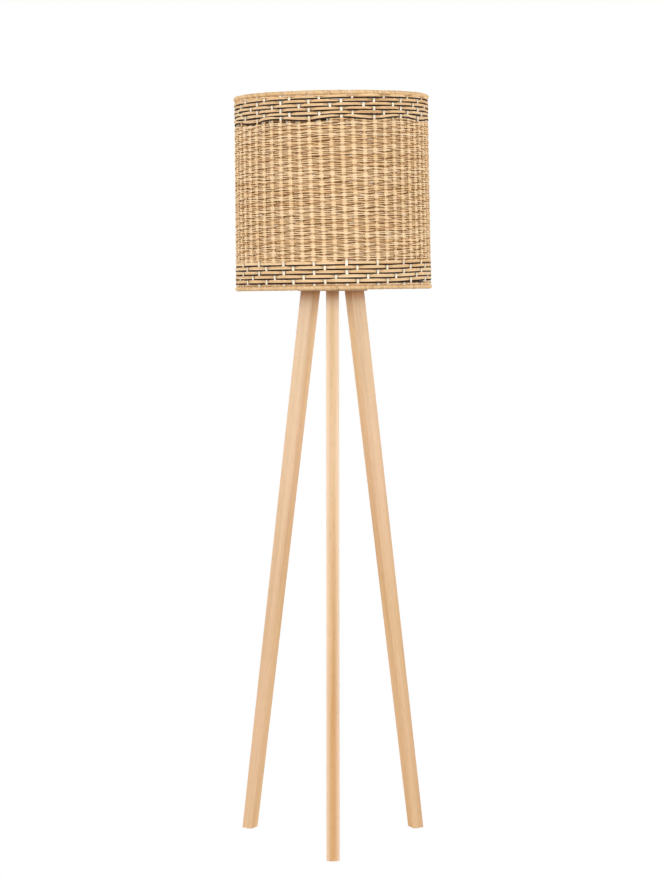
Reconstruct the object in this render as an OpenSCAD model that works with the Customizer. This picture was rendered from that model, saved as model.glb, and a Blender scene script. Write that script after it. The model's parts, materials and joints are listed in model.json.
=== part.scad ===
// Tripod floor lamp: three tapered wooden legs under a round plate, a screw lampholder on the
// plate, and a woven drum shade on a wire frame. +Z is up, the origin is on the floor, on the
// lamp's upright axis, and the front leg points along -Y.

/* [Overall] */
// Height of the whole lamp, floor to the shade's top edge
total_h = 1495; // [1400:5:1600]

/* [Legs] */
// Radius of the circle through the middles of the feet
foot_r = 198; // [170:1:230]
// Radius of the circle through the middles of the legs' top ends
leg_top_r = 51; // [50:0.5:52]
// Width of a leg, across the direction it leans in
leg_w = 26; // [24:0.5:28]
// Thickness of a leg at its top
leg_top_t = 31; // [29:0.5:31]
// Thickness of a leg at its foot
leg_foot_t = 22; // [20:0.5:26]
// Radius of a leg's long edges
leg_edge = 1.5; // [0.5:0.5:3]

/* [Top plate] */
// Diameter of the round plate that joins the legs
plate_d = 140; // [138:1:160]
// Thickness of the plate
plate_t = 18; // [16:1:22]
// Radius of the plate's edges
plate_edge = 2; // [1:0.5:4]
// How far the plate's underside hangs below the shade's bottom edge
plate_drop = 2; // [0:1:10]

/* [Shade] */
// Diameter over the woven skin
shade_d = 388; // [360:2:420]
// Height of the shade
shade_h = 384; // [360:1:420]
// Thickness of the woven skin
skin_t = 6.2; // [5:0.2:7]
// Height of the wrapped rims
rim_h = 9; // [8:0.5:12]
// Diameter of the ring and spider wires
wire_d = 4; // [3:0.5:5]
// Number of upright stakes that the skin is woven on
stake_n = 57; // [45:3:69]
// Width of a flat stake
stake_w = 4.8; // [4:0.2:6]
// Thickness of a flat stake
stake_t = 2.2; // [1.6:0.2:2.6]
// Angle that the stakes wind round the shade from bottom to top, in degrees
stake_twist = 2.7; // [0:0.1:4]

/* [Bands] */
// Diameter of a dark strand
strand_d = 2.5; // [2:0.1:3]
// Spacing of the dark strands in the upper band
upper_pitch = 7.8; // [7.5:0.1:9]
// Distance from the shade's top edge to the first dark strand
upper_start = 18; // [16:1:24]
// Spacing of the dark strands in the lower band
lower_pitch = 8.6; // [7.5:0.1:9]
// Distance from the shade's bottom edge to the lowest dark strand
lower_start = 19; // [16:1:24]
// Number of dark strands in the upper band
upper_n = 6; // [3:1:8]
// Number of dark strands in the lower band
lower_n = 5; // [3:1:8]

/* [Leg fastening] */
// Diameter of a leg bolt's shank
bolt_d = 6; // [5:1:6]
// Length of a leg bolt under its head
bolt_l = 40; // [38:1:44]
// Radius of the circle that the leg bolts stand on
bolt_r = 46; // [45:0.5:47]
// Radius of the circle that the dowels stand on
dowel_r = 59.5; // [59:0.5:60]
// Diameter of a dowel
dowel_d = 6; // [5:0.5:6]
// Thickness of a glide under a foot
glide_t = 2; // [2:0.5:4]

/* [Lampholder] */
// Diameter of the lampholder's body
holder_d = 40; // [39:0.5:41]
// Height of the lampholder's dome
dome_h = 28; // [27:1:30]
// Height of the lampholder's outer shell
shell_h = 41; // [40:1:44]
// Diameter of the screw-on shade ring
clamp_d = 55; // [54:0.5:56]

/* [Bulb] */
// Diameter of the bulb
bulb_d = 60; // [56:1:62]
// Length of the bulb
bulb_l = 105; // [100:1:110]

/* [Hidden] */

$fn = 96;
eps = 0.1;            // how far a cutter runs past the face it cuts
fit = 0.05;           // radial gap of a close fit inside one body
gap = 0.35;           // gap between pieces that move against each other

beech = [0.87, 0.70, 0.50];
steel = [0.72, 0.73, 0.75];
brass = [0.83, 0.68, 0.35];
straw = [0.85, 0.70, 0.50];
dark = [0.20, 0.13, 0.09];
cream = [0.96, 0.93, 0.85];
black = [0.07, 0.07, 0.07];

// Heights of the main levels
shade_z0 = total_h - shade_h;
shade_z1 = total_h;
plate_z0 = shade_z0 - plate_drop;
plate_z1 = plate_z0 + plate_t;

// Legs
FRONT = -90;
LEFT = 150;
RIGHT = 30;
lean = atan((foot_r - leg_top_r) / (plate_z0 - glide_t));
slab_t = 0.1;
glide_d = 18;
nail_d = 1.6;
nail_l = 16;

// Leg bolts, their inserts and dowels
washer_d = 12;
washer_t = 1.6;
head_d = 10;
head_h = 6;
head_z = plate_z1 - 7;
insert_d = 10;
insert_l = 22;
dowel_l = 24;

// Lampholder stack
nipple_r = 5;
nipple_bore = 4;
nipple_z0 = plate_z0 + 1.5;
recess_r = 12;
recess_h = 8;
base_t = 2;
dome_z0 = plate_z1 + base_t;
collar_h = 10;
holder_r = holder_d / 2;
wall = 2.4;
shell_z0 = dome_z0 + dome_h;
shell_z1 = shell_z0 + shell_h;
seat_z = shell_z0 + 19.65;
flange_t = 3;
flange_r = 25;
block_r = holder_r - wall - 0.3;
block_z0 = dome_z0 + 13;
block_z1 = dome_z0 + 34;
screw_r = 13.6;
screw_t = 0.7;

// Spider
fitter_z0 = seat_z + gap;
fitter_t = 2;
fitter_r = 29;
bend_r = 14;
clamp_z0 = fitter_z0 + fitter_t + gap;
clamp_h = 8.7;

// Shade
skin_r = shade_d / 2 - 0.5;
wire_r = skin_r - skin_t - stake_t / 2 - 0.2;
wrap_r0 = wire_r - wire_d;
arm_r = wire_r - wire_d;      // the arms and uprights stand against the ring wires
ring_up = rim_h / 2;
strand_r = shade_d / 2 - strand_d / 2;
stake_step = 360 / stake_n;
stake_phase = 1.6;    // angle of stake 0 from the front, at the shade's bottom edge

// Bulb
bulb_z0 = block_z1 + 6;
cap_z0 = bulb_z0 + 4.5;
cap_h = 22.5;
cap_r = 13.1;
neck_r = 13.4;
neck_z = 28;
glass_t = 1;
fil_n = 4;

// The angle of stake i at height z, from the front towards +X
function stake_angle(i, z) =
    i * stake_step + stake_phase - stake_twist * (z - shade_z0) / shade_h;

function upper_z(row) = shade_z1 - upper_start - row * upper_pitch;
function lower_z(row) = shade_z0 + lower_start + row * lower_pitch;

module at_legs() {
    for (a = [FRONT, LEFT, RIGHT])
        rotate([0, 0, a])
            children();
}

module tube(r_out, r_in, h) {
    difference() {
        cylinder(r = r_out, h = h);
        translate([0, 0, -eps])
            cylinder(r = r_in, h = h + 2 * eps);
    }
}

// A rectangle from the axis out to r, with its two outer corners rounded
module round_disc_profile(r, h, edge) {
    square([r - edge, h]);
    translate([0, edge])
        square([r, h - 2 * edge]);
    for (z = [edge, h - edge])
        translate([r - edge, z])
            circle(r = edge);
}

// ---- Stand ----

module leg_section(t) {
    length = t / cos(lean);
    linear_extrude(slab_t)
        hull()
            for (x = [-1, 1], y = [-1, 1])
                translate([x * (length / 2 - leg_edge), y * (leg_w / 2 - leg_edge)])
                    circle(r = leg_edge, $fn = 32);
}

module leg(angle) {
    color(beech)
        rotate([0, 0, angle])
            difference() {
                hull() {
                    translate([foot_r, 0, glide_t])
                        leg_section(leg_foot_t);
                    translate([leg_top_r, 0, plate_z0 - slab_t])
                        leg_section(leg_top_t);
                }
                translate([bolt_r, 0, plate_z0 - insert_l])
                    cylinder(d = insert_d + 2 * fit, h = insert_l + eps);
                translate([bolt_r, 0, head_z - bolt_l - 2])
                    cylinder(d = bolt_d + 0.6, h = bolt_l);
                translate([dowel_r, 0, plate_z0 - dowel_l / 2 - 1])
                    cylinder(d = dowel_d + 2 * fit, h = dowel_l);
                translate([foot_r, 0, glide_t - eps])
                    cylinder(d = nail_d + 2 * fit, h = nail_l + 1);
            }
}

module front_leg() {
    leg(FRONT);
}

module left_leg() {
    leg(LEFT);
}

module right_leg() {
    leg(RIGHT);
}

module top_plate() {
    color(beech)
        difference() {
            translate([0, 0, plate_z0])
                rotate_extrude()
                    round_disc_profile(plate_d / 2, plate_t, plate_edge);
            translate([0, 0, plate_z0 - eps])
                cylinder(r = nipple_r + 0.3, h = plate_t + 2 * eps);
            translate([0, 0, plate_z0 - eps])
                cylinder(r = recess_r, h = recess_h + eps);
            at_legs() {
                translate([bolt_r, 0, plate_z0 - eps])
                    cylinder(d = bolt_d + 0.6, h = plate_t);
                translate([bolt_r, 0, head_z - washer_t])
                    cylinder(d = washer_d + 1, h = plate_t);
                translate([dowel_r, 0, plate_z0 - eps])
                    cylinder(d = dowel_d + 2 * fit, h = dowel_l / 2 + 1);
            }
        }
}

module leg_bolts() {
    color(steel)
        at_legs()
            translate([bolt_r, 0, head_z])
                difference() {
                    union() {
                        cylinder(d = head_d, h = head_h);
                        translate([0, 0, -bolt_l])
                            cylinder(d = bolt_d, h = bolt_l + eps);
                    }
                    translate([0, 0, head_h / 2])
                        cylinder(d = 5.8, h = head_h, $fn = 6);
                }
}

module bolt_washers() {
    color(steel)
        at_legs()
            translate([bolt_r, 0, head_z - washer_t])
                tube(washer_d / 2, bolt_d / 2 + 0.2, washer_t);
}

module leg_inserts() {
    color(brass)
        at_legs()
            translate([bolt_r, 0, plate_z0 - insert_l])
                tube(insert_d / 2, bolt_d / 2 + fit, insert_l);
}

module leg_dowels() {
    color(beech)
        at_legs()
            translate([dowel_r, 0, plate_z0 - dowel_l / 2])
                cylinder(d = dowel_d, h = dowel_l);
}

module foot_glides() {
    color(cream)
        at_legs()
            translate([foot_r, 0, 0])
                tube(glide_d / 2, nail_d / 2 + fit, glide_t);
}

module glide_nails() {
    color(steel)
        at_legs()
            translate([foot_r, 0, glide_t / 2])
                cylinder(d = nail_d, h = nail_l);
}

// ---- Lampholder ----

module threaded_nipple() {
    color(brass)
        translate([0, 0, nipple_z0])
            tube(nipple_r, nipple_bore, dome_z0 + collar_h - nipple_z0);
}

module nut_washer() {
    color(steel)
        translate([0, 0, plate_z0 + recess_h - washer_t])
            tube(recess_r - 1.5, nipple_r + 0.2, washer_t);
}

module nipple_nut() {
    nut_h = 4;
    color(brass)
        translate([0, 0, plate_z0 + recess_h - washer_t - nut_h])
            difference() {
                cylinder(d = 16.2, h = nut_h, $fn = 6);
                translate([0, 0, -eps])
                    cylinder(r = nipple_r + fit, h = nut_h + 2 * eps);
            }
}

module cable_bush() {
    bush_bore = 3.2;
    bush_h = 8;
    color(cream)
        translate([0, 0, plate_z0])
            rotate_extrude() {
                translate([bush_bore, 0])
                    square([nipple_r + 1.5 - bush_bore, nipple_z0 - plate_z0]);
                translate([bush_bore, 0])
                    square([nipple_bore - fit - bush_bore, bush_h + nipple_z0 - plate_z0]);
            }
}

module holder_washer() {
    color(steel)
        translate([0, 0, plate_z1])
            tube(holder_r - 1, nipple_r + 0.2, base_t);
}

// Half of the dome's outline, d inside its outer face
module dome_profile(d) {
    round_r = 12;
    intersection() {
        translate([holder_r - round_r, round_r])
            circle(r = round_r - d);
        square([holder_r, dome_h]);
    }
    translate([0, round_r])
        square([holder_r - d, dome_h - round_r]);
    translate([0, d])
        square([holder_r - round_r, dome_h - d]);
}

module holder_dome() {
    color(black)
        translate([0, 0, dome_z0])
            rotate_extrude() {
                difference() {
                    dome_profile(0);
                    dome_profile(wall);
                    translate([0, dome_h - eps])
                        square([holder_r - wall, 2 * eps]);
                    square([nipple_r + fit, dome_h]);
                }
                translate([nipple_r + fit, 0])
                    square([3, collar_h]);
            }
}

module holder_shell() {
    color(black)
        translate([0, 0, shell_z0]) {
            tube(holder_r, holder_r - wall, shell_h);
            translate([0, 0, seat_z - shell_z0 - flange_t])
                tube(flange_r, holder_r - eps, flange_t);
        }
}

module contact_block() {
    color(cream)
        translate([0, 0, block_z0])
            difference() {
                union() {
                    cylinder(r = block_r, h = block_z1 - block_z0);
                    translate([0, 0, block_z1 - block_z0 - eps])
                        tube(block_r, screw_r + screw_t + fit, 28);
                }
                for (x = [-9, 9])
                    translate([x, 0, -eps])
                        cylinder(r = 1.6, h = 9);
            }
}

module screw_shell() {
    color(brass)
        translate([0, 0, block_z1 + 4])
            tube(screw_r + screw_t, screw_r, 23);
}

module centre_contact() {
    color(brass)
        translate([0, 3.5, block_z1])
            rotate([90, 0, 0])
                linear_extrude(7)
                    polygon([
                        [-10, 0], [-4, 0], [2, 4.8], [6, 4.8],
                        [6, 5.6], [1.6, 5.6], [-4.4, 0.8], [-10, 0.8]
                    ]);
}

module side_contact() {
    color(brass)
        translate([screw_r - 1.2, -2, block_z1])
            cube([1.6, 4, 4]);
}

module terminal_screws() {
    color(steel)
        for (x = [-9, 9])
            translate([x, 0, block_z0 - 2.4])
                difference() {
                    union() {
                        cylinder(r = 2.7, h = 2.4);
                        cylinder(r = 1.5, h = 10);
                    }
                    translate([-3, -0.4, -eps])
                        cube([6, 0.8, 1.2]);
                }
}

module shade_clamp_ring() {
    flutes = 24;
    color(black)
        translate([0, 0, clamp_z0])
            difference() {
                tube(clamp_d / 2, holder_r + gap, clamp_h);
                for (i = [0 : flutes - 1])
                    rotate([0, 0, i * 360 / flutes])
                        translate([clamp_d / 2 + 0.7, 0, -eps])
                            cylinder(r = 1.6, h = clamp_h + 2 * eps, $fn = 24);
            }
}

// ---- Shade ----

module fitter_ring() {
    color(steel)
        translate([0, 0, fitter_z0])
            tube(fitter_r, holder_r + gap, fitter_t);
}

// Straight out from the fitter ring, then down to the bottom ring wire
module spider_arm() {
    arm_z = fitter_z0 + fitter_t / 2;
    start = fitter_r - 0.5;
    foot_z = shade_z0 + 2;
    translate([start, 0, arm_z])
        rotate([0, 90, 0])
            cylinder(d = wire_d, h = arm_r - bend_r - start);
    translate([arm_r - bend_r, 0, arm_z - bend_r])
        rotate([90, 0, 0])
            rotate_extrude(angle = 90)
                translate([bend_r, 0])
                    circle(d = wire_d);
    translate([arm_r, 0, foot_z])
        cylinder(d = wire_d, h = arm_z - bend_r - foot_z);
}

module spider_arms() {
    color(steel)
        at_legs()
            spider_arm();
}

module ring_wire(z) {
    color(steel)
        translate([0, 0, z])
            rotate_extrude()
                translate([wire_r, 0])
                    circle(d = wire_d);
}

module bottom_ring_wire() {
    ring_wire(shade_z0 + ring_up);
}

module top_ring_wire() {
    ring_wire(shade_z1 - ring_up);
}

// Three wires between the arms that hold the top ring over the bottom ring
module frame_uprights() {
    end_gap = 2;
    color(steel)
        at_legs()
            rotate([0, 0, 180])
                translate([arm_r, 0, shade_z0 + end_gap])
                    cylinder(d = wire_d, h = shade_h - 2 * end_gap);
}

// Flat strips that stand on the bottom ring and lean a little as they wind to the top ring
module stakes() {
    z0 = shade_z0 + ring_up + wire_d / 2;
    z1 = shade_z1 - ring_up - wire_d / 2;
    winding = stake_twist * (z1 - z0) / shade_h;
    tilt = atan(wire_r * winding * PI / 180 / (z1 - z0));
    color(cream)
        for (i = [0 : stake_n - 1])
            rotate([0, 0, stake_angle(i, (z0 + z1) / 2) + FRONT])
                translate([wire_r, 0, (z0 + z1) / 2])
                    rotate([tilt, 0, 0])
                        cube([stake_t, stake_w, z1 - z0], center = true);
}

module shade_skin() {
    color(straw)
        rotate_extrude()
            difference() {
                translate([skin_r - skin_t, shade_z0 + rim_h])
                    square([skin_t, shade_h - 2 * rim_h]);
                for (row = [0 : upper_n - 1])
                    translate([strand_r, upper_z(row)])
                        circle(d = strand_d + 2 * fit, $fn = 24);
                for (row = [0 : lower_n - 1])
                    translate([strand_r, lower_z(row)])
                        circle(d = strand_d + 2 * fit, $fn = 24);
            }
}

module rim_wrap(z) {
    edge = 3;
    color(straw)
        translate([0, 0, z])
            rotate_extrude()
                difference() {
                    round_disc_profile(skin_r, rim_h, edge);
                    square([wrap_r0, rim_h]);
                    translate([wire_r, ring_up])
                        circle(d = wire_d + 2 * fit);
                }
}

module bottom_rim_wrap() {
    rim_wrap(shade_z0);
}

module top_rim_wrap() {
    rim_wrap(shade_z1 - rim_h);
}

module dark_strand(z) {
    color(dark)
        rotate_extrude()
            translate([strand_r, z])
                circle(d = strand_d, $fn = 24);
}

module upper_dark_strands() {
    for (row = [0 : upper_n - 1])
        dark_strand(upper_z(row));
}

module lower_dark_strands() {
    for (row = [0 : lower_n - 1])
        dark_strand(lower_z(row));
}

// ---- Bulb ----

// The bulb's outline from neck to crown, d inside its outer face, as [radius, height] points
function bulb_outline(d) =
    let (r = bulb_d / 2, equator = bulb_l - r)
    concat(
        [for (t = [0 : 0.1 : 0.9])
            [neck_r - d + (r - neck_r) * pow(sin(90 * t), 2), neck_z + (equator - neck_z) * t]],
        [for (a = [0 : 10 : 90])
            [(r - d) * cos(a), equator + (r - d) * sin(a)]]
    );

module bulb_glass() {
    outer = bulb_outline(0);
    inner = bulb_outline(glass_t);
    color([0.9, 0.9, 0.85, 0.4])
        translate([0, 0, bulb_z0])
            rotate_extrude()
                polygon(concat(
                    outer,
                    [for (i = [len(inner) - 1 : -1 : 0]) inner[i]]
                ));
}

module bulb_stem() {
    color([0.9, 0.9, 0.85, 0.4])
        translate([0, 0, bulb_z0 + neck_z]) {
            cylinder(r1 = 10.5, r2 = 3, h = 16);
            cylinder(r = 3, h = 32);
        }
}

module bulb_filaments() {
    color([0.95, 0.75, 0.2])
        for (i = [0 : fil_n - 1])
            rotate([0, 0, i * 360 / fil_n + 45])
                translate([5, 0, bulb_z0 + 47])
                    rotate([0, 10, 0])
                        cylinder(r = 0.9, h = 38);
}

module bulb_supports() {
    top = bulb_z0 + 86.5;
    color(steel) {
        translate([0, 0, bulb_z0 + 60])
            cylinder(r = 0.5, h = 26.5);
        for (i = [0 : fil_n - 1])
            rotate([0, 0, i * 360 / fil_n + 45])
                translate([0, 0, top])
                    rotate([0, 90, 0])
                        cylinder(r = 0.5, h = 12);
    }
}

module bulb_driver() {
    color([0.2, 0.45, 0.25])
        translate([0, 0, cap_z0 + 4])
            cylinder(r = 10, h = 12);
}

module bulb_cap() {
    cap_t = 0.5;
    color(steel)
        translate([0, 0, cap_z0])
            difference() {
                cylinder(r = cap_r, h = cap_h);
                translate([0, 0, cap_t])
                    cylinder(r = cap_r - cap_t, h = cap_h);
            }
}

module bulb_insulator() {
    color(black)
        translate([0, 0, bulb_z0 + 1])
            cylinder(r1 = 5.5, r2 = 12, h = cap_z0 - bulb_z0 - 1);
}

module bulb_tip() {
    color(steel)
        translate([0, 0, bulb_z0])
            cylinder(r = 4.8, h = 1);
}

top_plate();
front_leg();
left_leg();
right_leg();
leg_bolts();
bolt_washers();
leg_inserts();
leg_dowels();
foot_glides();
glide_nails();
threaded_nipple();
nipple_nut();
nut_washer();
cable_bush();
holder_washer();
holder_dome();
holder_shell();
contact_block();
screw_shell();
centre_contact();
side_contact();
terminal_screws();
shade_clamp_ring();
fitter_ring();
spider_arms();
frame_uprights();
bottom_ring_wire();
top_ring_wire();
stakes();
shade_skin();
bottom_rim_wrap();
top_rim_wrap();
upper_dark_strands();
lower_dark_strands();
bulb_glass();
bulb_stem();
bulb_filaments();
bulb_supports();
bulb_driver();
bulb_cap();
bulb_insulator();
bulb_tip();
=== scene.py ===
import json
import math

import bpy
import numpy as np
from mathutils import Euler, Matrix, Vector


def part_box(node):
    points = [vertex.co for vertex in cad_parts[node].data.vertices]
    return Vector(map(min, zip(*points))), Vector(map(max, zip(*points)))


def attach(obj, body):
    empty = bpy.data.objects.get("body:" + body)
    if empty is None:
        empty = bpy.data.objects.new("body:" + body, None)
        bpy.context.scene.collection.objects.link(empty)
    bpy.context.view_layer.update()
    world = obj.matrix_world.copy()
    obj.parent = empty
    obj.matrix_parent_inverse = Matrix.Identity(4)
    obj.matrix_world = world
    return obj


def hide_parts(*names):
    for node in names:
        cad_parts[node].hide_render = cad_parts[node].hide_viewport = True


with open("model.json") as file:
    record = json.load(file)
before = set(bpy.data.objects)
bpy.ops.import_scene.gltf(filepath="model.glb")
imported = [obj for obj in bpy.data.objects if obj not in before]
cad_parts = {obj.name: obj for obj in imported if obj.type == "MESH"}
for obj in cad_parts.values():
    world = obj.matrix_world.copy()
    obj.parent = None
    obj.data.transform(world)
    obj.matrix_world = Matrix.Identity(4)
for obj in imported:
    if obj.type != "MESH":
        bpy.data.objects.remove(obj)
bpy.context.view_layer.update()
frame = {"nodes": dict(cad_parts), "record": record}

# Tripod floor lamp: the stand, the lampholder and the bulb are the frame's own parts with procedural
# materials. The shade is woven here strand by strand, around the same stakes, rims and ring wires.
# Lengths are in metres. Angles round the shade start at the front, -Y, and grow towards +X.

MM = 0.001
SEED = 57


# ---- Driving dimensions, from the frame ----

RIM_LOW, RIM_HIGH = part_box("bottom_rim_wrap")
TOP_LOW, TOP_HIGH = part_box("top_rim_wrap")
LEG_LOW, LEG_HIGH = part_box("front_leg")
PLATE_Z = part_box("top_plate")[0].z
OUTER_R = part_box("upper_dark_strands")[1].x
SHADE_Z0 = RIM_LOW.z
SHADE_Z1 = TOP_HIGH.z
SHADE_H = SHADE_Z1 - SHADE_Z0
RIM_H = RIM_HIGH.z - RIM_LOW.z


# ---- Shade ----

# Strands: how far they stand proud of the frame's outer radius, and clear of the stakes
STRAND = 2.8 * MM
DARK_STRAND = 3.0 * MM
PROUD = 0.5 * MM
CLEAR = 0.2 * MM

# Stakes: evenly spread and a little aslant, but bunched up in places towards the top
STAKES = 57
STEP = 360 / STAKES
STAKE_PHASE = 1.5
STAKE_LEAN = 2.2
BUNCH_SHIFT = 0.7
BUNCH = 1.1
BUNCH_WAVES = 4
BUNCH_PHASE = 41
STAKE_W = 4.8 * MM
STAKE_T = 2.4 * MM
FRONT_R = OUTER_R - STRAND / 2 + PROUD
STAKE_R = FRONT_R - STRAND / 2 - STAKE_T / 2 - CLEAR
SWING = FRONT_R - STAKE_R

# Band rows. A shift says which stakes a row passes behind: every third one, from that stake on
UPPER_START = 15.6 * MM
UPPER_PITCH = 7.8 * MM
UPPER_SHIFT = (2, 1, 0, 1, 2, 1)
LOWER_START = 13.9 * MM
LOWER_PITCH = 8.6 * MM
LOWER_SHIFT = (2, 0, 1, 2, 1)
LAST_UPPER_Z = SHADE_Z1 - UPPER_START - (len(UPPER_SHIFT) - 1) * UPPER_PITCH
BAND_PALER = 0.2
BAND_OVERLAP = 1.22
ROW_WANDER = 0.12 * MM

# Body rows: thin between stakes, and pressed flat and wide over them
BODY_LOW = SHADE_Z0 + LOWER_START + len(LOWER_SHIFT) * LOWER_PITCH
BODY_PITCH = 3.66 * MM
BODY_THIN = 2.35 * MM
BODY_PRESSED = 4.8 * MM
BODY_PAIRING = 0.3 * MM
BODY_UNEVEN = 0.3 * MM
BODY_TONE = 0.18
# Painted light: how much paler a strand is where it stands pressed forward over a stake, leaving it
# darker between stakes as painted shade
PRESSED_HIGHLIGHT = 0.26
BODY_PIECES = 4

# Their depth as a share of STRAND, the swelling along them, and how many stakes a change takes
BODY_DEPTH = 0.86
PRESSED_DEPTH = 0.06
SWELLING = 0.1
SWELLING_STAKES = 1.2
UNEVEN_STAKES = 1.25

# The thinner strand behind the body rows, and how much darker it is painted, as painted shade for its
# place deep in the wall
INNER_THICK = 1.75 * MM
INNER_SIDES = 5
INNER_SHADE = 0.42

# How far rows stray from level: a slope at the top, a zigzag in the last upper row, a knee low down
# on one side, and a smooth unevenness everywhere. Phases and places are in degrees.
UPPER_SLOPE = 3.0 * MM
ZIGZAG = 2.6 * MM
ZIGZAG_WAVES = 9
ZIGZAG_PHASE = 4.3
ZIGZAG_REACH = 7.6 * MM
KNEE = 5.0 * MM
KNEE_FROM, KNEE_RISE = 30, 45
KNEE_TO, KNEE_FALL = 120, 50
KNEE_FADE = 5
DRIFT = 0.7 * MM
DRIFT_WAVES = 14
DRIFT_EDGE = 12 * MM

# A strand over or behind a stake, in stake spacings: where it is pressed, and where it crosses
PRESSED_HALF = 0.08
PRESSED_FADE = 0.15
CROSS_FROM = 0.15
CROSS_SPAN = 0.7
SLACK = 0.5 * MM

# Single strands beside the rims, and the loose tail of a dark strand
LOW_EDGE_UP = 1.6 * MM
HIGH_EDGE_DOWN = 1.4 * MM
SPARE_UP = 4.5 * MM
SPARE_STAKES = (10, 25)
TAIL_UP = 0.3 * MM
TAIL_STAKES = (5, 10)
TAIL_THICK = DARK_STRAND * 0.9

# Wrapped rims
RIM_R = OUTER_R - 4.7 * MM
RIM_HALF_R = 5.8 * MM
RIM_TURNS = 400
WRAP_T = 0.8 * MM
WRAP_W = 3.3 * MM

# The shade's real shape: a slight cone with a sagging top edge, tilted by this many degrees
CONE = 1.3 * MM
TILT = 0.75
TOP_WARP = 0.9 * MM

# Samples along and round a strand
PER_STAKE = 8
PER_TURN = 12
SIDES = 7
STAKE_RINGS = 90

# Tones: how much darker strands are painted on the face turned in, a painted shade, and where stakes
# change tone
FACE_SHADE = 0.75
STAKE_FADE = 8 * MM

# Fibres in a strand: the length of one twist, and of one fibre
TWIST = 9 * MM
FIBRE = 25 * MM


# ---- Colours ----

WOOD_DEEP = (0.66, 0.42, 0.22)
WOOD_MID = (0.76, 0.52, 0.285)
WOOD_PALE = (0.83, 0.60, 0.37)
WOOD_PINK = (0.81, 0.54, 0.34)
WOOD_FLECK = (0.46, 0.25, 0.12)
# Painted shade: the deeper, more orange colour towards the feet
WOOD_LOW_SHADE = (0.84, 0.69, 0.50)
# Painted highlight: the pale colour of the legs' long edges where they catch the light
WOOD_EDGE_HIGHLIGHT = (0.93, 0.75, 0.59)
# Painted shade: the deeper colour just under the top plate
WOOD_UNDER_PLATE_SHADE = (0.74, 0.50, 0.32)

# Dark, middle and pale tone of each kind of fibre
NATURAL = ((0.42, 0.225, 0.095), (0.82, 0.53, 0.265), (0.93, 0.69, 0.42))
DARK = ((0.012, 0.005, 0.003), (0.035, 0.014, 0.007), (0.08, 0.035, 0.018))
CANE = ((0.74, 0.49, 0.25), (0.90, 0.80, 0.62), (0.97, 0.92, 0.79))


# ---- Legs ----

LEG_TOP_T = 31 * MM
LEG_FOOT_T = 22 * MM
LEG_HALF_W = (LEG_HIGH.x - LEG_LOW.x) / 2
# How far in from a leg's long edges the painted highlight reaches
EDGE_HIGHLIGHT_REACH = 10 * MM
# How far down from the top plate the painted shade reaches
UNDER_PLATE_SHADE_REACH = 22 * MM

# Each leg's direction in degrees from +X, and its look as wood_material says
# Their looks paint shade towards the feet and highlights on the long edges
LEGS = {
    "front_leg": {"turn": -90, "low_shade": 0.95, "low_shade_from": 0.72, "low_shade_to": 0.28, "wear_and_edge_highlight": 0.65},
    "left_leg": {"turn": 150, "low_shade": 0.5, "low_shade_from": 1.0, "low_shade_to": 0.4, "wear_and_edge_highlight": 0.15},
    "right_leg": {"turn": 30, "low_shade": 0.62, "low_shade_from": 1.0, "low_shade_to": 0.45, "wear_and_edge_highlight": 0.1},
}


# ---- Studio ----

# Where the camera stands, in metres, how it is turned, in degrees, and its lens, in mm
CAMERA_AWAY = 4.978
CAMERA_UP = 1.118
CAMERA_SIDE = -0.0066
CAMERA_PITCH = 3.530
CAMERA_YAW = 0.097
CAMERA_ROLL = -0.052
CAMERA_LENS = 101.63
CAMERA_SENSOR = 36
CAMERA_FAR = 200

# Soft lights: the direction round the lamp, in degrees from the front, and the strength of each
ROOM_LIGHT = 0.52
BEHIND = 180
SOFTBOXES = ((-55, 3.1), (55, 3.1), (BEHIND, 1.4))
SOFTBOX_WIDTH = 34
SOFTBOX_RISE = 1
FLOOR_REACH = 80


# ---- Mesh helpers ----

def smooth(t):
    """0 to 1 with flat ends."""
    t = np.clip(t, 0, 1)
    return t * t * (3 - 2 * t)


def wander(rng, count, spacing, closed=False):
    """Smooth random values of unit size, one a sample, that change over about spacing samples."""
    knots = max(4, int(round(count / spacing)))
    values = rng.normal(size=knots + 1)
    if closed:
        values[-1] = values[0]
    along = np.linspace(0, knots, count, endpoint=not closed)
    low = np.minimum(along.astype(int), knots - 1)
    return values[low] + (values[low + 1] - values[low]) * smooth(along - low)


def radial(angle):
    """Unit vectors that point out of the shade at these angles, in degrees."""
    a = np.radians(angle)
    return np.stack([np.sin(a), -np.cos(a), np.zeros_like(a)], axis=-1)


def tangent(angle):
    """Unit vectors along the shade's skin, towards larger angles."""
    a = np.radians(angle)
    return np.stack([np.cos(a), np.sin(a), np.zeros_like(a)], axis=-1)


def place(angle, radius, z):
    """Points round the shade."""
    points = radial(angle) * radius[:, None]
    points[:, 2] = z
    return points


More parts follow.
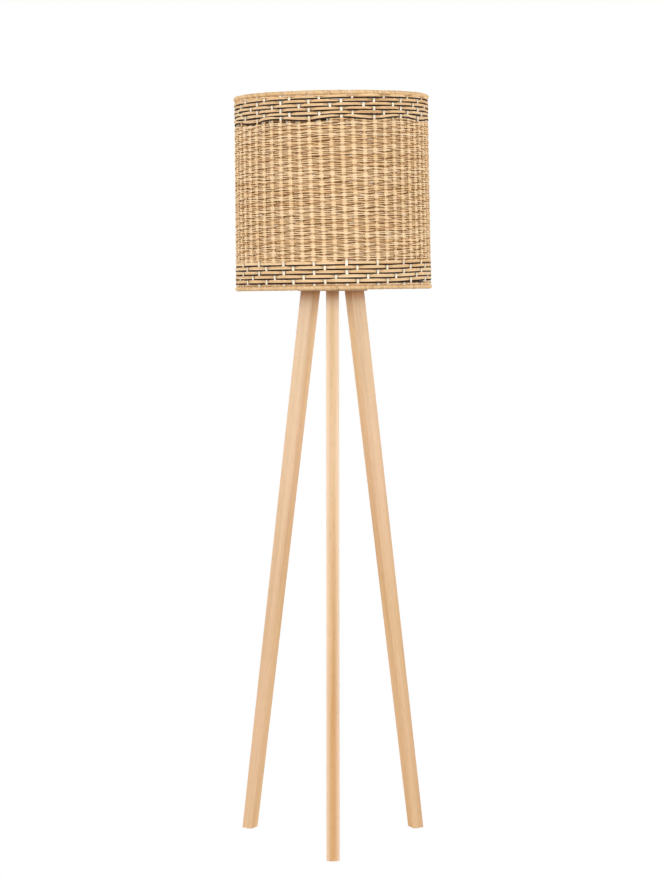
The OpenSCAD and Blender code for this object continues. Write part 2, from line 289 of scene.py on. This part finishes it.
class Weave:
    """Collects swept strands, then makes them one mesh.

    Each point carries the strand's tone, and its place on the twisted fibres as a vector: the length
    along the strand and a direction round it.
    """

    def __init__(self):
        self.points = []
        self.quads = []
        self.ends = []
        self.tones = []
        self.fibres = []
        self.count = 0

    def sweep(self, centre, side, up, half_side, half_up, tone, closed=False, sides=SIDES, square=2.0,
              face_shade=0.0):
        """A strand along centre. Its section is a superellipse across the side and up vectors.

        The last argument is painted shade: how much darker in tone the strand is on the face turned
        away from side.
        """
        rings = len(centre)
        turn = np.arange(sides) * 2 * math.pi / sides
        across = np.sign(np.cos(turn)) * np.abs(np.cos(turn)) ** (2 / square)
        along = np.sign(np.sin(turn)) * np.abs(np.sin(turn)) ** (2 / square)
        half_side = np.broadcast_to(half_side, rings)
        half_up = np.broadcast_to(half_up, rings)
        skin = centre[:, None, :] + side[:, None, :] * (half_side[:, None] * across)[:, :, None]
        skin = skin + up[:, None, :] * (half_up[:, None] * along)[:, :, None]
        self.points.append(skin.reshape(-1, 3))
        # Painted shade: the face turned away from side is darker in tone
        tone = np.broadcast_to(tone, rings)[:, None] - face_shade * np.maximum(0, -across)[None, :]
        self.tones.append(tone.ravel())
        self.fibres.append(self.wind_fibres(centre, turn))
        self.join_rings(rings, sides, closed)

    def wind_fibres(self, centre, turn):
        """The place of each point on the strand's fibres, which twist as they run along it."""
        steps = np.linalg.norm(np.diff(centre, axis=0), axis=1)
        length = np.concatenate([[0], np.cumsum(steps)])
        twist = turn[None, :] + (length / TWIST * 2 * math.pi)[:, None]
        far = np.broadcast_to((length / FIBRE)[:, None], twist.shape)
        return np.stack([far, np.cos(twist), np.sin(twist)], axis=-1).reshape(-1, 3)

    def join_rings(self, rings, sides, closed):
        """Faces between the last strand's rings of points, and over its two ends if it has any."""
        spans = rings if closed else rings - 1
        j = np.repeat(np.arange(spans), sides)
        k = np.tile(np.arange(sides), spans)
        next_j = (j + 1) % rings
        next_k = (k + 1) % sides
        corners = (j * sides + k, next_j * sides + k, next_j * sides + next_k, j * sides + next_k)
        self.quads.append(np.stack(corners, axis=-1) + self.count)
        if not closed:
            first = self.count + np.arange(sides)
            self.ends.append(first)
            self.ends.append((first + (rings - 1) * sides)[::-1])
        self.count += rings * sides

    def build(self, name, material, slot, *nodes):
        """The mesh as a piece of the shade that stands for these nodes."""
        quads = np.concatenate(self.quads)
        mesh = bpy.data.meshes.new(name)
        mesh.vertices.add(self.count)
        mesh.vertices.foreach_set("co", hung(np.concatenate(self.points)).astype(np.float32).ravel())
        corners = np.concatenate([quads.ravel()] + self.ends)
        sizes = np.concatenate([np.full(len(quads), 4), np.array([len(e) for e in self.ends], int)])
        starts = np.concatenate([[0], np.cumsum(sizes)[:-1]])
        mesh.loops.add(len(corners))
        mesh.loops.foreach_set("vertex_index", corners.astype(np.int32))
        mesh.polygons.add(len(sizes))
        mesh.polygons.foreach_set("loop_start", starts.astype(np.int32))
        mesh.update(calc_edges=True)
        mesh.polygons.foreach_set("use_smooth", np.ones(len(sizes), bool))
        tone = mesh.attributes.new("tone", "FLOAT", "POINT")
        tone.data.foreach_set("value", np.concatenate(self.tones).astype(np.float32))
        fibre = mesh.attributes.new("fibre", "FLOAT_VECTOR", "POINT")
        fibre.data.foreach_set("vector", np.concatenate(self.fibres).astype(np.float32).ravel())
        mesh.materials.append(material)
        piece = bpy.data.objects.new(name, mesh)
        bpy.context.scene.collection.objects.link(piece)
        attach(piece, "shade")
        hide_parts(*nodes)


# ---- Shader helpers ----

def new_material(name):
    material = bpy.data.materials.new(name)
    material.use_nodes = True
    tree = material.node_tree
    return material, tree, tree.nodes["Principled BSDF"]


def node(tree, kind, **inputs):
    """A node of this kind with these inputs: a value, or a socket to link from."""
    made = tree.nodes.new(kind)
    for name, value in inputs.items():
        socket = made.inputs[name.replace("_", " ")]
        if isinstance(value, bpy.types.NodeSocket):
            tree.links.new(value, socket)
        else:
            socket.default_value = value
    return made


def ramp(tree, fac, stops):
    """A colour ramp through (position, colour) stops."""
    made = tree.nodes.new("ShaderNodeValToRGB")
    tree.links.new(fac, made.inputs["Fac"])
    elements = made.color_ramp.elements
    while len(elements) < len(stops):
        elements.new(0.5)
    for element, (position, colour) in zip(elements, stops):
        element.position = position
        element.color = (*colour, 1)
    return made.outputs["Color"]


def mapped(tree, vector, scale, rotation=(0, 0, 0)):
    """The vector turned and then scaled."""
    made = tree.nodes.new("ShaderNodeMapping")
    tree.links.new(vector, made.inputs["Vector"])
    made.inputs["Scale"].default_value = scale
    made.inputs["Rotation"].default_value = rotation
    return made.outputs["Vector"]


def noise(tree, vector, scale=1.0, detail=3.0, roughness=0.5, distortion=0.0):
    made = node(tree, "ShaderNodeTexNoise", Vector=vector, Scale=scale, Detail=detail,
                Roughness=roughness, Distortion=distortion)
    return made.outputs["Fac"]


def remap(tree, value, low, high, to_low, to_high):
    """The value's range low to high stretched to the range to_low to to_high, and held beyond it."""
    made = node(tree, "ShaderNodeMapRange", Value=value)
    made.inputs["From Min"].default_value = low
    made.inputs["From Max"].default_value = high
    made.inputs["To Min"].default_value = to_low
    made.inputs["To Max"].default_value = to_high
    return made.outputs["Result"]


def mix(tree, fac, first, second, mode="MIX"):
    """Two colours mixed. Each input is a socket, a value or a colour."""
    made = tree.nodes.new("ShaderNodeMix")
    made.data_type = "RGBA"
    made.blend_type = mode
    for socket, value in ((made.inputs[0], fac), (made.inputs[6], first), (made.inputs[7], second)):
        if isinstance(value, bpy.types.NodeSocket):
            tree.links.new(value, socket)
        elif isinstance(value, tuple):
            socket.default_value = (*value, 1)
        else:
            socket.default_value = value
    return made.outputs[2]


def axis_of(tree, vector, axis):
    """One coordinate of a vector."""
    made = tree.nodes.new("ShaderNodeSeparateXYZ")
    tree.links.new(vector, made.inputs[0])
    return made.outputs[axis]


def size_of(tree, value):
    """The value without its sign."""
    made = tree.nodes.new("ShaderNodeMath")
    made.operation = "ABSOLUTE"
    tree.links.new(value, made.inputs[0])
    return made.outputs[0]


def attribute(tree, name):
    made = tree.nodes.new("ShaderNodeAttribute")
    made.attribute_name = name
    return made


def bump(tree, shader, height, strength, distance):
    made = node(tree, "ShaderNodeBump", Height=height, Strength=strength, Distance=distance)
    tree.links.new(made.outputs["Normal"], shader.inputs["Normal"])


def gloss(tree, shader, pattern, smoothest, roughest):
    """Roughness that follows the pattern."""
    tree.links.new(remap(tree, pattern, 0.3, 0.7, smoothest, roughest), shader.inputs["Roughness"])


def object_space(tree):
    return tree.nodes.new("ShaderNodeTexCoord").outputs["Object"]


# ---- Materials ----

def cord_material(name, tones, roughness):
    """Twisted natural fibre: each strand has its own tone, with fine fibres that wind round it."""
    material, tree, shader = new_material(name)
    fibres = noise(tree, attribute(tree, "fibre").outputs["Vector"], scale=5, distortion=0.4)
    patches = noise(tree, object_space(tree), scale=45, detail=2)
    blotch = mix(tree, 0.3, attribute(tree, "tone").outputs["Fac"], patches)
    fleck = mix(tree, 0.25, blotch, fibres)
    dark, mid, pale = tones
    colour = ramp(tree, fleck, ((0.25, dark), (0.5, mid), (0.75, pale)))
    tree.links.new(colour, shader.inputs["Base Color"])
    gloss(tree, shader, fibres, roughness - 0.08, roughness + 0.08)
    shader.inputs["Specular IOR Level"].default_value = 0.25
    bump(tree, shader, fibres, 0.6, 0.4 * MM)
    return material


def wood_material(name, turn=0, lean=0.0, low_shade=0.0, low_shade_from=1.0, low_shade_to=0.5, wear_and_edge_highlight=0.0,
                  under_plate_shade=0.0):
    """Pale beech under matt lacquer. Its grain follows an axis that leans out in the direction turn.

    turn is in degrees and lean in radians. The next three arguments give painted shade towards the
    feet: how much deeper and more orange the wood is painted from the higher height down to the lower
    one. The next gives painted highlights: how pale its long edges are painted where they catch the
    light. The last gives painted shade just under the top plate: how much deeper its colour is
    painted there, where the plate and shade keep light off.
    """
    material, tree, shader = new_material(name)
    space = object_space(tree)
    height = axis_of(tree, space, "Z")
    turned = mapped(tree, space, (1, 1, 1), (0, 0, -math.radians(turn)))
    along = mapped(tree, turned, (1, 1, 1), (0, lean, 0))

    growth = noise(tree, mapped(tree, along, (70, 70, 1.6)), distortion=0.5)
    pores = noise(tree, mapped(tree, along, (900, 900, 40)), detail=2)
    flecks = noise(tree, mapped(tree, along, (380, 380, 60)), detail=1)
    clouds = noise(tree, mapped(tree, along, (12, 12, 3.5)), detail=2)
    tone = ramp(tree, growth, ((0.34, WOOD_DEEP), (0.5, WOOD_MID), (0.66, WOOD_PALE)))
    warm = mix(tree, remap(tree, clouds, 0.35, 0.65, 0, 0.5), tone, WOOD_PINK)
    flecked = mix(tree, remap(tree, flecks, 0.62, 0.72, 0, 0.3), warm, WOOD_FLECK)
    grained = mix(tree, remap(tree, pores, 0.35, 0.7, 0.0, 0.14), flecked, WOOD_FLECK)

    # Painted shade: deeper and more orange towards the feet
    low_shade_mask = remap(tree, height, low_shade_to, low_shade_from, low_shade, 0.0)
    low_shaded = mix(tree, low_shade_mask, grained, WOOD_LOW_SHADE, "MULTIPLY")
    aside = size_of(tree, axis_of(tree, turned, "Y"))
    # Painted highlight: paler towards the long edges
    edge = remap(tree, aside, LEG_HALF_W - EDGE_HIGHLIGHT_REACH, LEG_HALF_W, 0.0, wear_and_edge_highlight)
    edge_lit = mix(tree, edge, low_shaded, WOOD_EDGE_HIGHLIGHT)
    # Painted shade just under the top plate
    shade = remap(tree, height, PLATE_Z - UNDER_PLATE_SHADE_REACH, PLATE_Z, 0.0, under_plate_shade)
    colour = mix(tree, shade, edge_lit, WOOD_UNDER_PLATE_SHADE, "MULTIPLY")

    tree.links.new(colour, shader.inputs["Base Color"])
    gloss(tree, shader, pores, 0.42, 0.56)
    shader.inputs["Specular IOR Level"].default_value = 0.35
    bump(tree, shader, pores, 0.25, 0.2 * MM)
    return material


def metal_material(name, colour, roughness):
    """Plated metal with fine marks and slightly uneven gloss."""
    material, tree, shader = new_material(name)
    marks = noise(tree, object_space(tree), scale=300)
    cloud = noise(tree, object_space(tree), scale=60, detail=2)
    wear_and_edge_highlight = tuple(c * 0.82 for c in colour)
    tree.links.new(ramp(tree, cloud, ((0.3, wear_and_edge_highlight), (0.65, colour))), shader.inputs["Base Color"])
    gloss(tree, shader, marks, roughness - 0.08, roughness + 0.1)
    shader.inputs["Metallic"].default_value = 1.0
    bump(tree, shader, marks, 0.15, 0.05 * MM)
    return material


def moulded_material(name, colour, roughness, grain=900):
    """Moulded plastic, ceramic or enamel with a fine grain and faint handling marks."""
    material, tree, shader = new_material(name)
    fine = noise(tree, object_space(tree), scale=grain, detail=2)
    cloud = noise(tree, object_space(tree), scale=40)
    paler = tuple(min(1.0, c * 1.15 + 0.004) for c in colour)
    tree.links.new(ramp(tree, cloud, ((0.35, colour), (0.7, paler))), shader.inputs["Base Color"])
    gloss(tree, shader, fine, roughness - 0.06, roughness + 0.08)
    bump(tree, shader, fine, 0.12, 0.05 * MM)
    return material


def glass_material(name):
    """Clear blown glass with a faint waviness."""
    material, tree, shader = new_material(name)
    shader.inputs["Base Color"].default_value = (1.0, 0.97, 0.9, 1)
    shader.inputs["Transmission Weight"].default_value = 1.0
    shader.inputs["Roughness"].default_value = 0.02
    shader.inputs["IOR"].default_value = 1.45
    waves = noise(tree, object_space(tree), scale=35, detail=1)
    bump(tree, shader, waves, 0.05, 0.5 * MM)
    return material


def leg_lean():
    """How far the legs lean from upright, from the front leg's box and its thickness at both ends."""
    run = LEG_HIGH.y - LEG_LOW.y - (LEG_TOP_T + LEG_FOOT_T) / 2
    return math.atan(run / (LEG_HIGH.z - LEG_LOW.z))


def slot_materials():
    """One material for each slot of the record."""
    return {
        "beech": wood_material("beech"),
        "zinc_steel": metal_material("zinc_steel", (0.62, 0.63, 0.65), 0.38),
        "brass": metal_material("brass", (0.72, 0.52, 0.22), 0.33),
        "nickel": metal_material("nickel", (0.68, 0.66, 0.62), 0.22),
        "nylon": moulded_material("nylon", (0.82, 0.78, 0.70), 0.5),
        "black_plastic": moulded_material("black_plastic", (0.018, 0.018, 0.019), 0.42, 1400),
        "porcelain": moulded_material("porcelain", (0.84, 0.81, 0.74), 0.45, 500),
        "frame_steel": moulded_material("frame_steel", (0.66, 0.52, 0.34), 0.45, 1200),
        "filament": moulded_material("filament", (0.75, 0.40, 0.05), 0.4, 2000),
        "circuit_board": moulded_material("circuit_board", (0.03, 0.12, 0.05), 0.4),
        "bulb_glass": glass_material("bulb_glass"),
        "natural_cord": cord_material("natural_cord", NATURAL, 0.72),
        "dark_cord": cord_material("dark_cord", DARK, 0.7),
        "pale_strip": cord_material("pale_strip", CANE, 0.55),
    }


def dress_frame(materials):
    """Gives each CAD node the material of its slot, with the grain turned along each leg."""
    slots = {s["node"]: s["material_slot"] for s in frame["record"]["subparts"]}
    for name, part in frame["nodes"].items():
        material = materials[slots[name]]
        if name in LEGS:
            # Each leg gets the full painted shade just under the top plate
            material = wood_material("beech_" + name, lean=leg_lean(), under_plate_shade=1.0, **LEGS[name])
        for slot in part.material_slots:
            slot.material = material


# ---- How the shade is laid out ----

def stake_angle(u, z):
    """The angle of stake number u, which may be a fraction, at height z."""
    up = (z - SHADE_Z0) / SHADE_H
    plain = u * STEP + STAKE_PHASE - STAKE_LEAN * up
    bunched = BUNCH_SHIFT + BUNCH * np.cos(np.radians(BUNCH_WAVES * (plain - BUNCH_PHASE)))
    return plain + bunched * up * up


def hung(points):
    """The shade's real shape: a slight cone with a sagging top edge, tilted about its middle."""
    up = (points[:, 2:3] - SHADE_Z0) / SHADE_H
    reach = np.hypot(points[:, 0:1], points[:, 1:2])
    wide = 1 + CONE * (1 - 2 * up) / reach
    shaped = points * np.concatenate([wide, wide, np.ones_like(wide)], axis=1)
    around = np.arctan2(points[:, 0], -points[:, 1])
    middle = (SHADE_Z0 + SHADE_Z1) / 2
    x = shaped[:, 0]
    z = shaped[:, 2] - middle - TOP_WARP * np.cos(2 * around) * up[:, 0]
    a = math.radians(TILT)
    tilted_x = x * math.cos(a) - z * math.sin(a)
    tilted_z = middle + x * math.sin(a) + z * math.cos(a)
    return np.stack([tilted_x, shaped[:, 1], tilted_z], axis=-1)


def stray(angle, z):
    """How far a row at this height lies above its level at this angle."""
    up = (z - SHADE_Z0) / SHADE_H
    slope = UPPER_SLOPE * np.sin(np.radians(angle)) * up
    near_last = np.exp(-((z - LAST_UPPER_Z) / ZIGZAG_REACH) ** 2)
    zigzag = ZIGZAG * near_last * np.cos(np.radians(ZIGZAG_WAVES * (angle - ZIGZAG_PHASE)))
    wrapped = angle - 360 * np.round(angle / 360)
    rise = smooth((wrapped - KNEE_FROM) / KNEE_RISE) * (1 - smooth((wrapped - KNEE_TO) / KNEE_FALL))
    return slope + zigzag + KNEE * rise * np.clip(1 - up, 0, 1) ** KNEE_FADE


def drift(rng, angle, z):
    """Smooth unevenness of the rows over the shade's surface, of unit size."""
    total = np.zeros_like(z)
    for _ in range(DRIFT_WAVES):
        waves_round = rng.integers(3, 22)
        waves_up = rng.uniform(60, 420)
        phase = rng.uniform(0, 2 * math.pi)
        total += np.sin(np.radians(waves_round * angle) + waves_up * z + phase)
    return total / math.sqrt(DRIFT_WAVES)


def crossing(t, behind):
    """Radius along a strand at stake places t: out in front, or in where behind(stake) is true."""
    low = np.floor(t).astype(int)
    part = t - low
    here = np.where(behind(low), -1.0, 1.0)
    there = np.where(behind(low + 1), -1.0, 1.0)
    swing = here + (there - here) * smooth((part - CROSS_FROM) / CROSS_SPAN)
    slack = np.where(here == there, SLACK * np.sin(math.pi * part) ** 2 * here, 0)
    return STAKE_R + SWING * swing - slack


def pressed(t):
    """How hard a strand is pressed flat against a stake: 1 over a stake, 0 between stakes."""
    away = np.abs(t - np.round(t))
    return 1 - smooth((away - PRESSED_HALF) / PRESSED_FADE)


def strand_tone(rng, count):
    """A strand's own tone along its length, from 0 to 1: a slow change with a slight quick one."""
    slow = 0.16 * wander(rng, count, 90)
    quick = 0.07 * wander(rng, count, 14)
    return np.clip(0.5 + slow + quick, 0, 1)


# ---- Weaving ----

def add_row(weave, rng, height, behind, thick, start=0, stop=STAKES, level=False, paler=0.0):
    """One strand round the shade at this height, or from stake start to stake stop."""
    closed = stop - start == STAKES
    count = (stop - start) * PER_STAKE + (0 if closed else 1)
    t = start + np.arange(count) / PER_STAKE
    z = np.full(count, height) + ROW_WANDER * wander(rng, count, 2.5 * PER_STAKE, closed)
    angle = stake_angle(t, z)
    if not level:
        z = z + stray(angle, z)
    centre = place(angle, crossing(t, behind), z)
    upright = np.tile([0.0, 0.0, 1.0], (count, 1))
    size = thick / 2 * (1 + 0.05 * wander(rng, count, PER_STAKE, closed))
    tone = strand_tone(rng, count) + paler
    weave.sweep(centre, radial(angle), upright, size, size, tone, closed, face_shade=FACE_SHADE)


def third(shift):
    """Which stakes a band row passes behind: every third one, from shift on."""
    return lambda stake: (stake - shift) % 3 == 0


def fourth(stake):
    """Which stakes a body row passes behind: every fourth one."""
    return stake % 4 == 0


def every(stake):
    """Which stakes the inner strand passes behind: all of them."""
    return np.full(stake.shape, True)


def weave_band(name, first_z, pitch, shifts, materials):
    """A band's rows: in each a dark strand with two natural strands over it, that cross together."""
    rng = np.random.default_rng(SEED + len(shifts))
    dark = Weave()
    natural = Weave()
    natural_pitch = (abs(pitch) - DARK_STRAND) / 2
    thick = natural_pitch * BAND_OVERLAP
    for row, shift in enumerate(shifts):
        z = first_z + row * pitch
        add_row(dark, rng, z, third(shift), DARK_STRAND)
        for strands_up in (0.5, 1.5):
            above = z + DARK_STRAND / 2 + strands_up * natural_pitch
            add_row(natural, rng, above, third(shift), thick, paler=BAND_PALER)
    dark.build(name + "_dark_weft", materials["dark_cord"], "dark_cord", name + "_dark_strands")
    natural.build(name + "_natural_weft", materials["natural_cord"], "natural_cord", "shade_skin")


def weave_body(materials):
    """The plain skin: a long strand that spirals up, over three stakes and behind the fourth.

    A thinner strand spirals up with it, half a row lower and behind every stake, painted darker as
    painted shade.
    """
    rng = np.random.default_rng(SEED)
    high = LAST_UPPER_Z - DARK_STRAND / 2 - BODY_PITCH / 2
    rows = int(round((high - BODY_LOW) / BODY_PITCH))
    per_row = STAKES * PER_STAKE
    total = rows * per_row + 1
    t = -np.arange(total) / PER_STAKE
    level = np.linspace(BODY_LOW, high, total)
    angle = stake_angle(t, level)

    edge = smooth(np.minimum(level - BODY_LOW, high - level) / DRIFT_EDGE)
    z = level + stray(angle, level) + edge * DRIFT * drift(rng, angle, level)
    z = z + BODY_UNEVEN * wander(rng, total, UNEVEN_STAKES * PER_STAKE)
    z = z + BODY_PAIRING * np.tanh(3 * np.cos(math.pi * t / STAKES))

    press = pressed(t)
    fat = 1 + SWELLING * wander(rng, total, SWELLING_STAKES * PER_STAKE)
    half_up = (BODY_THIN + (BODY_PRESSED - BODY_THIN) * press) / 2 * fat
    half_out = STRAND / 2 * (BODY_DEPTH + PRESSED_DEPTH * press) * fat
    # Painted light over the stakes and painted shade between them
    tone = np.clip(strand_tone(rng, total) + BODY_TONE + PRESSED_HIGHLIGHT * press, 0, 1)
    centre = place(angle, crossing(t, fourth), z)

    inner = place(angle, crossing(t, every), z - BODY_PITCH / 2)
    # Painted shade: the inner strand is darker in tone, as it lies in the wall's shadow
    inner_shaded_tone = strand_tone(rng, total) - INNER_SHADE
    inner_half = np.full(total, INNER_THICK / 2)

    out = radial(angle)
    down = np.tile([0.0, 0.0, -1.0], (total, 1))
    cord = materials["natural_cord"]
    for part in range(BODY_PIECES):
        first = part * rows // BODY_PIECES * per_row
        last = (part + 1) * rows // BODY_PIECES * per_row + 1
        cut = slice(first, last)
        weave = Weave()
        weave.sweep(centre[cut], out[cut], down[cut], half_out[cut], half_up[cut], tone[cut],
                    face_shade=FACE_SHADE)
        weave.build(f"body_weft_{part + 1}", cord, "natural_cord", "shade_skin")
        lining = Weave()
        lining.sweep(inner[cut], out[cut], down[cut], inner_half[cut], inner_half[cut],
                     inner_shaded_tone[cut], sides=INNER_SIDES)
        lining.build(f"inner_weft_{part + 1}", cord, "natural_cord", "shade_skin")


def edge_rows(materials):
    """Single strands beside the two rims, and the loose tail of a dark strand."""
    rng = np.random.default_rng(SEED + 3)
    natural = Weave()
    add_row(natural, rng, RIM_HIGH.z + LOW_EDGE_UP, third(1), STRAND, level=True)
    add_row(natural, rng, TOP_LOW.z - HIGH_EDGE_DOWN, third(1), STRAND, level=True)
    add_row(natural, rng, RIM_HIGH.z + SPARE_UP, third(0), STRAND, *SPARE_STAKES, level=True)
    natural.build("edge_weft", materials["natural_cord"], "natural_cord", "shade_skin")
    tail = Weave()
    tail_z = SHADE_Z0 + LOWER_START + TAIL_UP
    add_row(tail, rng, tail_z, third(2), TAIL_THICK, *TAIL_STAKES, level=True)
    tail.build("dark_tail", materials["dark_cord"], "dark_cord", "lower_dark_strands")


def stand_stakes(materials):
    """Flat strips, a little uneven in width, from rim to rim: cream in the bands, else tan."""
    rng = np.random.default_rng(SEED + 1)
    weave = Weave()
    rings = STAKE_RINGS
    z = np.linspace(SHADE_Z0 + RIM_H * 0.4, SHADE_Z1 - RIM_H * 0.4, rings)
    over_low = smooth((z - BODY_LOW) / STAKE_FADE + 0.5)
    under_high = smooth((LAST_UPPER_Z - z) / STAKE_FADE + 0.5)
    body = over_low * under_high
    for stake in range(STAKES):
        angle = stake_angle(np.full(rings, float(stake)), z)
        centre = place(angle, STAKE_R + 0.1 * MM * wander(rng, rings, 10), z)
        half_w = STAKE_W / 2 * (1 + 0.05 * wander(rng, rings, 12) + 0.05 * rng.normal())
        tone = 0.75 - 0.9 * body + 0.1 * rng.normal() + 0.08 * wander(rng, rings, 8)
        weave.sweep(centre, tangent(angle), radial(angle), half_w, STAKE_T / 2, np.clip(tone, 0, 1),
                    sides=10, square=4)
    weave.build("woven_stakes", materials["pale_strip"], "pale_strip", "stakes")


def wrap_rim(name, middle, materials, rng):
    """A flat strand wound closely round the ring wire and the stakes' ends."""
    weave = Weave()
    count = RIM_TURNS * PER_TURN
    spin = np.arange(count) / PER_TURN * 2 * math.pi
    angle = np.arange(count) / count * 360 + 0.12 * wander(rng, count, 40, True)
    half_r = RIM_HALF_R + 0.15 * MM * wander(rng, count, PER_TURN, True)
    half_z = RIM_H / 2 - WRAP_T + 0.25 * MM * wander(rng, count, 2 * PER_TURN, True)
    centre = place(angle, RIM_R + half_r * np.cos(spin), middle + half_z * np.sin(spin))
    normal = radial(angle) * (np.cos(spin) / half_r)[:, None]
    normal[:, 2] = np.sin(spin) / half_z
    normal /= np.linalg.norm(normal, axis=1)[:, None]
    turn_tones = np.clip(0.62 + 0.14 * rng.normal(size=RIM_TURNS), 0, 1)
    tone = np.repeat(turn_tones, PER_TURN)
    weave.sweep(centre, normal, -tangent(angle), WRAP_T, WRAP_W / 2, tone, closed=True, sides=6)
    weave.build(name + "_woven", materials["natural_cord"], "natural_cord", name)


def make_shade(materials):
    weave_body(materials)
    weave_band("upper", SHADE_Z1 - UPPER_START, -UPPER_PITCH, UPPER_SHIFT, materials)
    weave_band("lower", SHADE_Z0 + LOWER_START, LOWER_PITCH, LOWER_SHIFT, materials)
    edge_rows(materials)
    stand_stakes(materials)
    rng = np.random.default_rng(SEED + 2)
    wrap_rim("bottom_rim_wrap", (RIM_LOW.z + RIM_HIGH.z) / 2, materials, rng)
    wrap_rim("top_rim_wrap", (TOP_LOW.z + TOP_HIGH.z) / 2, materials, rng)


# ---- Camera, lights and floor ----

def set_colours():
    bpy.context.scene.view_settings.view_transform = "Standard"
    bpy.context.scene.view_settings.look = "None"


def place_camera():
    data = bpy.data.cameras.new("camera")
    data.lens = CAMERA_LENS
    data.sensor_width = CAMERA_SENSOR
    data.clip_end = CAMERA_FAR
    camera = bpy.data.objects.new("camera", data)
    camera.location = (CAMERA_SIDE, -CAMERA_AWAY, CAMERA_UP)
    aim = Euler((math.radians(90 - CAMERA_PITCH), 0, math.radians(-CAMERA_YAW))).to_matrix()
    roll = Euler((0, 0, math.radians(CAMERA_ROLL))).to_matrix()
    camera.rotation_euler = (aim @ roll).to_euler()
    bpy.context.scene.collection.objects.link(camera)
    bpy.context.scene.camera = camera


def show_white(tree, output_name, shader):
    """Sends the shader to the output, with plain white where the camera looks straight at it."""
    path = tree.nodes.new("ShaderNodeLightPath")
    white = node(tree, "ShaderNodeEmission", Strength=1.0)
    both = tree.nodes.new("ShaderNodeMixShader")
    tree.links.new(path.outputs["Is Camera Ray"], both.inputs["Fac"])
    tree.links.new(shader, both.inputs[1])
    tree.links.new(white.outputs["Emission"], both.inputs[2])
    tree.links.new(both.outputs["Shader"], tree.nodes[output_name].inputs["Surface"])


def place_lights():
    """A dim white room with broad soft lights: one each side of the front, and a weaker one behind.

    The one behind would glint in the bulb through the skin, so gloss and glass don't see it.
    """
    world = bpy.data.worlds.new("studio")
    world.use_nodes = True
    background = world.node_tree.nodes["Background"]
    background.inputs["Color"].default_value = (1, 1, 1, 1)
    background.inputs["Strength"].default_value = ROOM_LIGHT
    show_white(world.node_tree, "World Output", background.outputs["Background"])
    bpy.context.scene.world = world
    for turn, strength in SOFTBOXES:
        data = bpy.data.lights.new("softbox", "SUN")
        data.energy = strength
        data.angle = math.radians(SOFTBOX_WIDTH)
        lamp = bpy.data.objects.new("softbox", data)
        lamp.rotation_euler = (math.radians(90 - SOFTBOX_RISE), 0, math.radians(turn))
        lamp.visible_glossy = turn != BEHIND
        lamp.visible_transmission = turn != BEHIND
        bpy.context.scene.collection.objects.link(lamp)


def lay_floor():
    """A wide pale floor."""
    mesh = bpy.data.meshes.new("floor")
    r = FLOOR_REACH
    mesh.from_pydata([(-r, -r, 0), (r, -r, 0), (r, r, 0), (-r, r, 0)], [], [(0, 1, 2, 3)])
    floor = bpy.data.objects.new("floor", mesh)
    material, tree, shader = new_material("floor")
    grit = noise(tree, object_space(tree), scale=8)
    greys = ((0.3, (0.66, 0.66, 0.66)), (0.7, (0.72, 0.72, 0.72)))
    tree.links.new(ramp(tree, grit, greys), shader.inputs["Base Color"])
    shader.inputs["Roughness"].default_value = 0.9
    show_white(tree, "Material Output", shader.outputs["BSDF"])
    mesh.materials.append(material)
    bpy.context.scene.collection.objects.link(floor)


# ---- The scene ----

set_colours()
place_camera()
place_lights()
lay_floor()
slots = slot_materials()
dress_frame(slots)
make_shade(slots)
